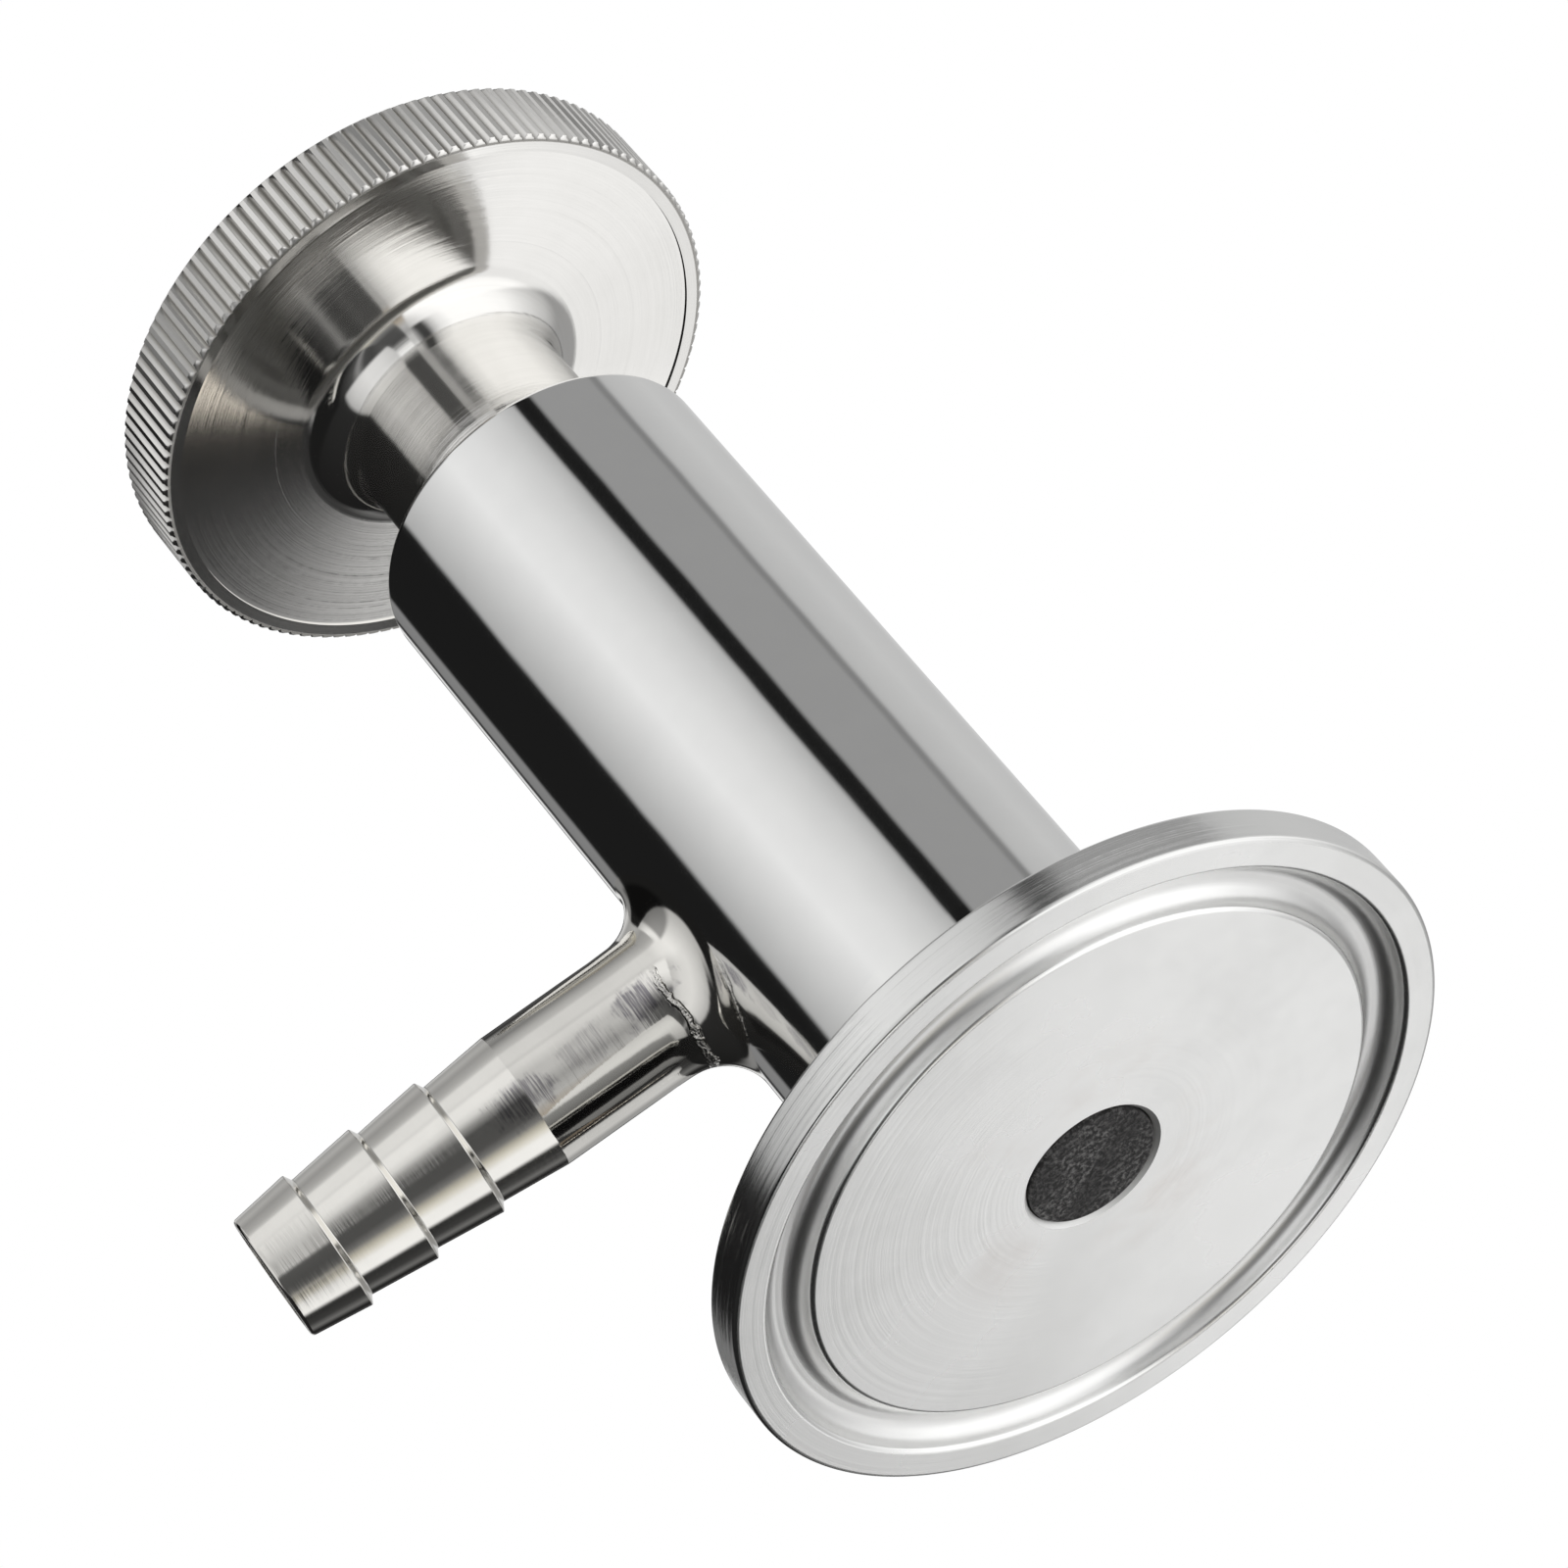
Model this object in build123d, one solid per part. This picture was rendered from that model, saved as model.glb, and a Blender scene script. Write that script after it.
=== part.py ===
from build123d import *
import math
import os

# Sanitary sampling valve. All sizes are in millimetres.
# The valve is drawn upright: the clamp face lies at height 0, its handwheel is at the top,
# and the hose outlet points along -X. It is turned to its place in use at the very end.

# Clamp ferrule
ferrule_radius = 25.25
rim_thickness = 2.85
rim_rounding = 0.3
back_angle = 20.0
gasket_radius = 21.45
gasket_mouth = 3.1
gasket_floor = 2.2
gasket_depth = 1.35
gasket_floor_rounding = 1.2
gasket_shoulder_rounding = 0.35
neck_rounding = 3.2
neck_length = 13.0

# Barrel
tube_wall = 1.6
guide_ledge = 0.7
tube_end_rounding = 0.45
mouth_recess = 0.4

# Product port and the plug that closes it
port_radius = 4.6
port_length = 2.2
port_chamfer = 0.22
plug_gap = 0.1
plug_radius = 6.8
plug_length = 7.5
plug_edge_rounding = 0.25
core_head_radius = 3.4
core_head_inset = 1.8
core_head_thickness = 1.4
core_waist_radius = 2.2
core_stud_radius = 2.0
core_stud_length = 6.5
core_stud_play = 0.9

# Stem
stem_radius = 4.0
stem_upper_radius = 3.0
stem_flats = 6.4
stem_tip_chamfer = 0.4
travel = 5.0

# Guide bush and its seals
seal_cord = 0.9
seal_groove = 2.2
seal_inset = 2.2
seal_spacing = 3.0
guide_overrun = 0.4
outlet_margin = 0.3

# Plate that stops the stem from turning
plate_thickness = 2.0
dowel_radius = 0.7
dowel_depth = 3.0

# Threaded bush with the stop for the open position
thread_step = 0.55
thread_length = 7.62
thread_runout = 0.3
washer_thickness = 1.2
washer_width = 0.65
washer_approach = 1.6
pocket_gap = 0.3
circlip_thickness = 1.2
circlip_depth = 0.6
circlip_gap = 0.7
circlip_opening = 40.0
wiper_thickness = 1.9
wiper_lip = 0.9
wiper_lip_rounding = 0.2

# Handwheel
handwheel_radius = 20.8
handwheel_standoff = 14.65
rim_width = 6.15
rim_chamfer = 0.25
top_chamfer = 0.45
neck_clearance = 2.6
flare_radius = 2.9
dish_drop = 0.5
land_width = 1.0
land_height = 0.12
knurl_count = 134
knurl_depth = 0.38
knurl_opening = 0.62
hub_wall = 1.4
nut_across_flats = 10.0
nut_room = 0.73
nut_thickness = 4.0
stem_end_length = 0.4
cap_ledge = 2.5
cap_thickness = 2.0
cap_recess = 0.3
cap_chamfer = 0.3
cap_socket = 5.0
cap_socket_depth = 1.3
cap_cord = 0.5
cap_groove = 1.4
cap_headroom = 0.3

# Hose outlet
outlet_distance = 28.5
outlet_reach = 43.95
outlet_bore_radius = 3.5
shank_radius = 4.8
spigot_step = 0.3
tip_radius = 4.34
tip_rounding = 0.25
crest_radius = 4.9
valley_radius = 4.35
valley_width = 0.3
valley_rounding = 0.12
first_cone = 4.2
barb_pitch = 5.0
barb_count = 3
weld_rounding = 4.0
weld_room = 0.4
root_spread = 0.12

# Clearances
running_fit = 0.05
seated_fit = 0.03
end_float = 0.05

# Radii worked out from the stem's nut outwards
nut_corner_radius = nut_across_flats / (2 * math.cos(math.pi / 6))
hub_cavity_radius = nut_corner_radius + nut_room
neck_radius = hub_cavity_radius + hub_wall
thread_radius = neck_radius - thread_step
washer_radius = thread_radius + washer_width
pocket_radius = washer_radius + pocket_gap
bore_radius = neck_radius + neck_clearance
tube_radius = bore_radius + tube_wall
chamber_radius = bore_radius - guide_ledge
bush_radius = bore_radius - seated_fit
dowel_circle = (pocket_radius + bush_radius) / 2
circlip_groove_radius = bore_radius + circlip_depth
circlip_inner_radius = neck_radius + circlip_gap
cap_radius = hub_cavity_radius + cap_ledge
cap_groove_radius = (hub_cavity_radius + cap_radius) / 2
spigot_radius = shank_radius - spigot_step
root_radius = shank_radius + root_spread
root_end = tube_radius + weld_rounding + weld_room

# Heights worked out from the clamp face upwards
guide_start = outlet_distance + shank_radius + outlet_margin
lower_seal = guide_start + seal_inset
upper_seal = lower_seal + seal_spacing
flats_start = upper_seal + seal_groove / 2 + seated_fit
plate_start = flats_start + travel + guide_overrun
bush_start = plate_start + plate_thickness
shoulder = bush_start + washer_approach
wheel_start = shoulder + washer_thickness + end_float
pocket_end = wheel_start + travel + end_float
bush_end = pocket_end + thread_length
circlip_end = bush_end + circlip_thickness
wiper_end = circlip_end + wiper_thickness
body_length = wiper_end + mouth_recess
rim_start = body_length + handwheel_standoff
wheel_end = rim_start + rim_width
cap_start = wheel_end - cap_recess - cap_thickness
stem_end = cap_start - cap_headroom
nut_end = stem_end - stem_end_length
nut_start = nut_end - nut_thickness
hub_cavity_floor = nut_start - washer_thickness - end_float


# A solid turned about the upright axis. Each corner is (radius, height, rounding).
def turned(*corners):
    points = [(radius, 0, height) for radius, height, _ in corners]
    roundings = [rounding for _, _, rounding in corners]
    outline = FilletPolyline(*points, radius=roundings, close=True)
    return revolve(make_face(outline), Axis.Z)


# A flat ring or short sleeve, with its two radii and its two heights
def ring(inner, outer, bottom, top):
    return turned((inner, bottom, 0), (outer, bottom, 0), (outer, top, 0), (inner, top, 0))


# A solid cylinder about the upright axis between two heights
def rod(radius, bottom, top):
    return Pos(0, 0, bottom) * extrude(Circle(radius), top - bottom)


# A rubber ring of round cord
def cord_ring(mid_radius, cord_radius, height):
    return Pos(0, 0, height) * Torus(mid_radius, cord_radius)


# Turns a shape that stands on the upright axis so that it points along -X at the outlet
def at_outlet(shape):
    return Pos(0, 0, outlet_distance) * Rot(0, -90, 0) * shape


# Disc with the gasket groove in its face, a sloping back for the clamp, and a neck.
# Inside, the port opens through a cone that drains into the chamber.
def clamp_ferrule():
    mouth_inner = gasket_radius - gasket_mouth / 2
    mouth_outer = gasket_radius + gasket_mouth / 2
    floor_inner = gasket_radius - gasket_floor / 2
    floor_outer = gasket_radius + gasket_floor / 2
    slope = math.tan(math.radians(back_angle))
    neck_start = rim_thickness + (ferrule_radius - tube_radius) * slope
    cone_end = port_length + chamber_radius - port_radius
    return turned(
        (port_radius + port_chamfer, 0, 0),
        (mouth_inner, 0, gasket_shoulder_rounding),
        (floor_inner, gasket_depth, gasket_floor_rounding),
        (floor_outer, gasket_depth, gasket_floor_rounding),
        (mouth_outer, 0, gasket_shoulder_rounding),
        (ferrule_radius, 0, rim_rounding),
        (ferrule_radius, rim_thickness, rim_rounding),
        (tube_radius, neck_start, neck_rounding),
        (tube_radius, neck_length, 0),
        (chamber_radius, neck_length, 0),
        (chamber_radius, cone_end, 0),
        (port_radius, port_length, 0),
        (port_radius, port_chamfer, 0),
    )


# Tube butted to the ferrule's neck, with a ledge for the guide bush, a groove for
# the circlip near its mouth, and a hole for the outlet's spigot
def barrel_tube():
    groove_start = bush_end - seated_fit
    groove_end = circlip_end + seated_fit
    tube = turned(
        (chamber_radius, neck_length, 0),
        (tube_radius, neck_length, 0),
        (tube_radius, body_length, tube_end_rounding),
        (bore_radius, body_length, 0),
        (bore_radius, groove_end, 0),
        (circlip_groove_radius, groove_end, 0),
        (circlip_groove_radius, groove_start, 0),
        (bore_radius, groove_start, 0),
        (bore_radius, guide_start, 0),
        (chamber_radius, guide_start, 0),
    )
    hole = at_outlet(rod(spigot_radius + seated_fit, 0, 2 * tube_radius))
    return tube - hole


# Outline of the barbed outlet: a rounded tip, then cones that face the tip, each
# ending in a small step, and a plain shank that flares a little towards the barrel, with a
# spigot that goes through the barrel's wall
def barb_outline():
    corners = [
        (outlet_bore_radius, outlet_reach, 0),
        (tip_radius, outlet_reach, tip_rounding),
    ]
    crest = outlet_reach - first_cone
    for _ in range(barb_count):
        corners.append((crest_radius, crest, valley_rounding))
        corners.append((valley_radius, crest - valley_width, valley_rounding))
        crest -= barb_pitch
    corners.append((shank_radius, crest, 0))
    corners.append((shank_radius, root_end, 0))
    corners.append((root_radius, tube_radius, 0))
    corners.append((spigot_radius, tube_radius, 0))
    corners.append((spigot_radius, tube_radius / 2, 0))
    corners.append((outlet_bore_radius, tube_radius / 2, 0))
    return corners


# The slightly flared root of the shank, drawn from the barrel's middle outwards
def outlet_root():
    slope = root_spread / (root_end - tube_radius)
    middle_radius = shank_radius + slope * root_end
    return at_outlet(turned(
        (0, 0, 0), (middle_radius, 0, 0), (shank_radius, root_end, 0), (0, root_end, 0)
    ))


# The fillet of metal where the outlet is welded to the barrel
def outlet_weld():
    barrel = rod(tube_radius, 0, 2 * outlet_distance)
    root = outlet_root()
    joined = barrel + root
    saddle = new_edges(barrel, root, combined=joined)
    bore = at_outlet(rod(outlet_bore_radius, 0, 2 * outlet_reach))
    return fillet(saddle, weld_rounding) - barrel - bore


# Barbed outlet with its weld, coped where it enters the chamber
def hose_barb():
    barb = at_outlet(turned(*barb_outline()))
    chamber = rod(chamber_radius, 0, 2 * outlet_distance)
    return barb - chamber + outlet_weld()


# Bush that guides the stem, with two grooves inside and one outside for rubber rings
def guide_bush():
    inner = stem_radius + running_fit
    inner_groove = inner + 2 * seal_cord
    outer = bore_radius - seated_fit
    outer_groove = outer - 2 * seal_cord
    bush = ring(inner, outer, guide_start, plate_start)
    for seal in (lower_seal, upper_seal):
        bush -= ring(inner, inner_groove, seal - seal_groove / 2, seal + seal_groove / 2)
    static = static_seal_height()
    groove = ring(outer_groove, bore_radius, static - seal_groove / 2, static + seal_groove / 2)
    return bush - groove


# The outside ring sits midway between the upper stem seal and the bush's far end
def static_seal_height():
    return (upper_seal + plate_start) / 2


def guide_seal():
    outer = bore_radius - seated_fit
    return cord_ring(outer - seal_cord, seal_cord - seated_fit, static_seal_height())


def stem_seal(height):
    inner = stem_radius + running_fit
    return cord_ring(inner + seal_cord, seal_cord - seated_fit, height)


# Two upright pins on opposite sides, also used for the holes that hold them
def dowel_pair(radius, bottom, length):
    pin = rod(radius, bottom, bottom + length)
    return [place * pin for place in PolarLocations(dowel_circle, 2)]


# Disc with a hole that has two flat sides, which fit the flats of the stem
def anti_turn_plate():
    round_hole = Circle(stem_radius + running_fit)
    flat_hole = Rectangle(3 * stem_radius, stem_flats + 2 * running_fit)
    face = Circle(bush_radius) - (round_hole & flat_hole)
    plate = Pos(0, 0, plate_start) * extrude(face, plate_thickness)
    return plate - dowel_pair(dowel_radius + seated_fit, plate_start, plate_thickness)


# Two pins that lock the plate to the threaded bush
def dowel_pins():
    return Compound(dowel_pair(dowel_radius, plate_start, plate_thickness + dowel_depth))


# Bush with a pocket for the stop washer below its thread.
# Both threads are drawn plain at their middle radius.
def thread_bush():
    bush = turned(
        (pocket_radius, bush_start, 0),
        (bush_radius, bush_start, 0),
        (bush_radius, bush_end, 0),
        (thread_radius + running_fit, bush_end, 0),
        (thread_radius + running_fit, pocket_end, 0),
        (pocket_radius, pocket_end, 0),
    )
    return bush - dowel_pair(dowel_radius + seated_fit, bush_start, dowel_depth + end_float)


# Open spring ring in the barrel's groove, with the gap its pliers need
def bush_circlip():
    outer = circlip_groove_radius - seated_fit
    clip = ring(circlip_inner_radius, outer, bush_end, circlip_end)
    gap_width = 2 * outer * math.sin(math.radians(circlip_opening / 2))
    gap = Box(2 * outer, gap_width, 3 * circlip_thickness)
    return clip - Pos(outer, 0, circlip_end) * gap


# Scraper ring in the barrel's mouth
def neck_wiper():
    inner = neck_radius + running_fit
    outer = bore_radius - seated_fit
    lip = (inner + outer) / 2
    root = (inner + lip) / 2
    rounding = min(wiper_lip_rounding, (root - inner) / 2)
    return turned(
        (inner, circlip_end, 0),
        (outer, circlip_end, 0),
        (outer, wiper_end, 0),
        (lip, wiper_end, 0),
        (root, wiper_end - wiper_lip, rounding),
        (inner, wiper_end, 0),
    )


# Steel core that the rubber of the plug is moulded onto, with a stud for the stem
def plug_core():
    head_end = core_head_inset + core_head_thickness
    return turned(
        (0, core_head_inset, 0),
        (core_head_radius, core_head_inset, 0),
        (core_head_radius, head_end, 0),
        (core_waist_radius, head_end, 0),
        (core_waist_radius, plug_length, 0),
        (core_stud_radius, plug_length, 0),
        (core_stud_radius, plug_length + core_stud_length, 0),
        (0, plug_length + core_stud_length, 0),
    )


# Rubber plug: a nose that fills the port, and a cone that closes on the port's seat
def plug_seal():
    nose_radius = port_radius - plug_gap
    cone_shift = plug_gap * math.sqrt(2)
    nose_end = port_length - plug_gap + cone_shift
    cone_end = nose_end + plug_radius - nose_radius
    rubber = turned(
        (0, 0, 0),
        (nose_radius, 0, plug_edge_rounding),
        (nose_radius, nose_end, 0),
        (plug_radius, cone_end, plug_edge_rounding),
        (plug_radius, plug_length, plug_edge_rounding),
        (0, plug_length, 0),
    )
    return rubber - plug_core()


# Rod with two flats above the seals, a shoulder, and a slimmer end through the handwheel
def stem_rod():
    stud_hole_radius = core_stud_radius + seated_fit
    stud_hole_end = plug_length + core_stud_length + core_stud_play
    stem = turned(
        (stud_hole_radius, plug_length, 0),
        (stem_radius, plug_length, 0),
        (stem_radius, shoulder, 0),
        (stem_upper_radius, shoulder, 0),
        (stem_upper_radius, stem_end - stem_tip_chamfer, 0),
        (stem_upper_radius - stem_tip_chamfer, stem_end, 0),
        (0, stem_end, 0),
        (0, stud_hole_end, 0),
        (stud_hole_radius, stud_hole_end, 0),
    )
    flats_length = shoulder - flats_start
    flats_middle = (shoulder + flats_start) / 2
    milled = Box(3 * stem_radius, 2 * stem_radius, flats_length)
    for side in (-1, 1):
        stem -= Pos(0, side * (stem_flats / 2 + stem_radius), flats_middle) * milled
    return stem


def lower_thrust_washer():
    inner = stem_upper_radius + running_fit
    return ring(inner, washer_radius, shoulder, shoulder + washer_thickness)


def upper_thrust_washer():
    inner = stem_upper_radius + running_fit
    outer = hub_cavity_radius - pocket_gap
    return ring(inner, outer, nut_start - washer_thickness, nut_start)


def stem_nut():
    hexagon = RegularPolygon(nut_corner_radius, 6)
    hole = Circle(stem_upper_radius + seated_fit)
    return Pos(0, 0, nut_start) * extrude(hexagon - hole, nut_thickness)


# The handwheel before it is knurled: a threaded neck, a flare, a shallow cone under the
# disc with a flat land round it, and a hollow in the top for the nut and the cap
def handwheel_blank():
    stem_hole = stem_upper_radius + running_fit
    neck_foot = bush_end + thread_runout
    land_radius = handwheel_radius - rim_chamfer
    top_radius = handwheel_radius - top_chamfer
    groove_inner = cap_groove_radius - cap_groove / 2
    groove_outer = cap_groove_radius + cap_groove / 2
    groove_floor = cap_start - 2 * cap_cord
    return turned(
        (stem_hole, wheel_start, 0),
        (thread_radius, wheel_start, 0),
        (thread_radius, neck_foot, 0),
        (neck_radius, neck_foot, 0),
        (neck_radius, rim_start - dish_drop, flare_radius),
        (land_radius - land_width, rim_start + land_height, 0),
        (land_radius - land_width, rim_start, 0),
        (land_radius, rim_start, 0),
        (handwheel_radius, rim_start + rim_chamfer, 0),
        (handwheel_radius, wheel_end - top_chamfer, 0),
        (top_radius, wheel_end, 0),
        (cap_radius, wheel_end, 0),
        (cap_radius, cap_start, 0),
        (groove_outer, cap_start, 0),
        (groove_outer, groove_floor, 0),
        (groove_inner, groove_floor, 0),
        (groove_inner, cap_start, 0),
        (hub_cavity_radius, cap_start, 0),
        (hub_cavity_radius, hub_cavity_floor, 0),
        (stem_hole, hub_cavity_floor, 0),
    )


# Star outline whose valleys are the knurl's grooves. Its points lie outside the rim, so the
# rim's own round and chamfers cut the ridges to flat lands.
def knurl_star():
    pitch = 2 * math.pi / knurl_count
    root_radius = handwheel_radius - knurl_depth
    groove_angle = knurl_opening / handwheel_radius
    point_radius = root_radius + knurl_depth * pitch / groove_angle
    points = []
    for index in range(knurl_count):
        for radius, angle in ((root_radius, index * pitch), (point_radius, (index + 0.5) * pitch)):
            points.append((radius * math.cos(angle), radius * math.sin(angle)))
    return make_face(Polyline(*points, close=True))


# Handwheel with straight knurling round its rim
def handwheel():
    length = wheel_end - wheel_start
    return handwheel_blank() & Pos(0, 0, wheel_start) * extrude(knurl_star(), length)


# Cap that closes the hollow in the handwheel, with a hexagon socket
def closing_cap():
    edge = cap_radius - seated_fit
    top = cap_start + cap_thickness
    disc = turned(
        (0, cap_start, 0),
        (edge, cap_start, 0),
        (edge, top - cap_chamfer, 0),
        (edge - cap_chamfer, top, 0),
        (0, top, 0),
    )
    socket = extrude(RegularPolygon(cap_socket / 2, 6, major_radius=False), cap_socket_depth)
    return disc - Pos(0, 0, top - cap_socket_depth) * socket


def cap_seal():
    return cord_ring(cap_groove_radius, cap_cord, cap_start - cap_cord)


# Turns the upright valve to its place in use: clamp face towards +X, outlet down
def in_use(shape):
    return Rot(0, -90, 0) * shape


pieces = {
    "clamp_ferrule": clamp_ferrule,
    "barrel_tube": barrel_tube,
    "hose_barb": hose_barb,
    "guide_bush": guide_bush,
    "guide_seal": guide_seal,
    "stem_seal_lower": lambda: stem_seal(lower_seal),
    "stem_seal_upper": lambda: stem_seal(upper_seal),
    "anti_turn_plate": anti_turn_plate,
    "dowel_pins": dowel_pins,
    "thread_bush": thread_bush,
    "bush_circlip": bush_circlip,
    "neck_wiper": neck_wiper,
    "plug_seal": plug_seal,
    "plug_core": plug_core,
    "stem_rod": stem_rod,
    "lower_thrust_washer": lower_thrust_washer,
    "upper_thrust_washer": upper_thrust_washer,
    "stem_nut": stem_nut,
    "handwheel": handwheel,
    "closing_cap": closing_cap,
    "cap_seal": cap_seal,
}

os.makedirs("parts", exist_ok=True)
for name, make in pieces.items():
    export_step(in_use(make()), f"parts/{name}.step")
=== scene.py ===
import math
import bmesh
import bpy
import numpy as np
from mathutils import Matrix, Vector


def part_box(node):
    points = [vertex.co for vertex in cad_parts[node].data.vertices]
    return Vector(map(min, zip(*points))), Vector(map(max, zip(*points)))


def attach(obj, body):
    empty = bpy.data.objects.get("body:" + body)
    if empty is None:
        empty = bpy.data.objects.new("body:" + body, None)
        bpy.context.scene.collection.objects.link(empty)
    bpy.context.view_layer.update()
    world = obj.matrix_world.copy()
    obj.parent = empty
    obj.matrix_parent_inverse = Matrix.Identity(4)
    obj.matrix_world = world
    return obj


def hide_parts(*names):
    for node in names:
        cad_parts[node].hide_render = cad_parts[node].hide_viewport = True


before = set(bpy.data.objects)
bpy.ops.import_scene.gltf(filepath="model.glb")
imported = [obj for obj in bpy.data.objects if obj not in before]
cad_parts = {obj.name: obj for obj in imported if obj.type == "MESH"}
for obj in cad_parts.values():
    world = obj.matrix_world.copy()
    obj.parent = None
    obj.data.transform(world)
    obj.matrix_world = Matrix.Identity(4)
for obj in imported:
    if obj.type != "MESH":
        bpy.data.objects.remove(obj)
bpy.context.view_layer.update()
print("frame loaded,", len(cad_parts), "nodes")

# Sizes of the pieces are in millimetres. Their heights run from the clamp face, at 0, along -X.
mm = 0.001
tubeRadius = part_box("barrel_tube")[1].y / mm
tubeEnd = -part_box("barrel_tube")[0].x / mm
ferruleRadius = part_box("clamp_ferrule")[1].y / mm
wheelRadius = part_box("handwheel")[1].y / mm
wheelEnd = -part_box("handwheel")[0].x / mm

# The nut on the stem's end sets the radii of all that lies round it
core = {"nutAcross": 10.0, "nutRoom": 0.73, "hubWall": 1.4, "neckClearance": 2.6, "ledge": 0.7}
hubRadius = core["nutAcross"] / 2 / math.cos(math.radians(30)) + core["nutRoom"]
neckRadius = hubRadius + core["hubWall"]
boreRadius = neckRadius + core["neckClearance"]
chamberRadius = boreRadius - core["ledge"]


# Profiles and surfaces


# Corners are (radius, height, rounding). A corner c with edge directions u and v and rounding f
# becomes an arc about c + f / sin(half angle) along u + v, from c + u f / tan(half angle) to
# c + v f / tan(half angle). One more point `support` along each edge keeps the edge's slope.
def roundedLine(corners, closed=True, steps=7, support=0.04):
    points, count = [], len(corners)
    for i, (radius, height, rounding) in enumerate(corners):
        corner = np.array([radius, height], float)
        if rounding == 0 or (not closed and i in (0, count - 1)):
            points.append(corner[None])
            continue
        before = np.array(corners[i - 1][:2], float) - corner
        after = np.array(corners[(i + 1) % count][:2], float) - corner
        u, v = before / np.linalg.norm(before), after / np.linalg.norm(after)
        half = math.acos(np.clip(u @ v, -1, 1)) / 2
        centre = corner + (u + v) / np.linalg.norm(u + v) * rounding / math.sin(half)
        first = corner + u * rounding / math.tan(half)
        last = corner + v * rounding / math.tan(half)
        sweep = math.pi - 2 * half
        t = np.linspace(0, 1, steps + 1)[:, None]
        turned = np.sin((1 - t) * sweep) * (first - centre) + np.sin(t * sweep) * (last - centre)
        arc = centre + turned / math.sin(sweep)
        points.append(np.vstack([first + u * support, arc, last + v * support]))
    return np.vstack(points) * mm


# Point (angle a, step k) of a turned surface = (-height k, radius k sin a, radius k cos a)
def turnedGrid(profile, angles):
    radius, height = profile[None, :, 0], profile[None, :, 1]
    a = angles[:, None]
    return np.stack([-height + 0 * a, radius * np.sin(a), radius * np.cos(a)], -1)


def evenAngles(count):
    return np.arange(count) * 2 * math.pi / count


# Quads between neighbours of a (row, column) grid of vertex numbers, joined round where it wraps
def gridQuads(rows, columns, wrapRows, wrapColumns):
    index = np.arange(rows * columns).reshape(rows, columns)
    if wrapRows:
        index = np.vstack([index, index[:1]])
    if wrapColumns:
        index = np.hstack([index, index[:, :1]])
    return np.stack([index[:-1, :-1], index[1:, :-1], index[1:, 1:], index[:-1, 1:]], -1)


mergeDistance = 2e-7  # metres


# Sheets of (points, quads) become one closed mesh with its doubles merged and faces outward
def makePiece(name, sheets, finish, body, nodes, sharp=30):
    points, quads, start = [], [], 0
    for sheetPoints, sheetQuads in sheets:
        points.append(sheetPoints.reshape(-1, 3))
        quads.append(sheetQuads.reshape(-1, 4) + start)
        start += len(points[-1])
    mesh = bpy.data.meshes.new(name)
    mesh.from_pydata(np.vstack(points).tolist(), [], np.vstack(quads).tolist())
    shell = bmesh.new()
    shell.from_mesh(mesh)
    bmesh.ops.remove_doubles(shell, verts=shell.verts, dist=mergeDistance)
    bmesh.ops.recalc_face_normals(shell, faces=shell.faces)
    shell.to_mesh(mesh)
    shell.free()
    mesh.polygons.foreach_set("use_smooth", np.ones(len(mesh.polygons), dtype=bool))
    mesh.set_sharp_from_angle(angle=math.radians(sharp))
    mesh.materials.append(finish)
    piece = bpy.data.objects.new(name, mesh)
    bpy.context.scene.collection.objects.link(piece)
    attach(piece, body)
    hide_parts(*nodes)
    return piece


# A turned surface whose profile is closed, or runs from axis to axis
def makeTurned(name, profile, closed, columns, finish, body, nodes):
    grid = turnedGrid(profile, evenAngles(columns))
    quads = gridQuads(*grid.shape[:2], True, closed)
    return makePiece(name, [(grid, quads)], finish, body, nodes)


# Shader building


# A shader value; arithmetic between values and numbers adds Math nodes
class Wire:
    def __init__(self, maker, socket):
        self.maker, self.socket = maker, socket

    def maths(self, operation, first, second):
        return self.maker.node("ShaderNodeMath", {"operation": operation}, {0: first, 1: second})[0]

    def __add__(self, other):
        return self.maths("ADD", self, other)

    def __radd__(self, other):
        return self.maths("ADD", other, self)

    def __sub__(self, other):
        return self.maths("SUBTRACT", self, other)

    def __rsub__(self, other):
        return self.maths("SUBTRACT", other, self)

    def __mul__(self, other):
        return self.maths("MULTIPLY", self, other)

    def __rmul__(self, other):
        return self.maths("MULTIPLY", other, self)

    def __truediv__(self, other):
        return self.maths("DIVIDE", self, other)

    def __rtruediv__(self, other):
        return self.maths("DIVIDE", other, self)

    def __pow__(self, other):
        return self.maths("POWER", self, other)


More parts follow.
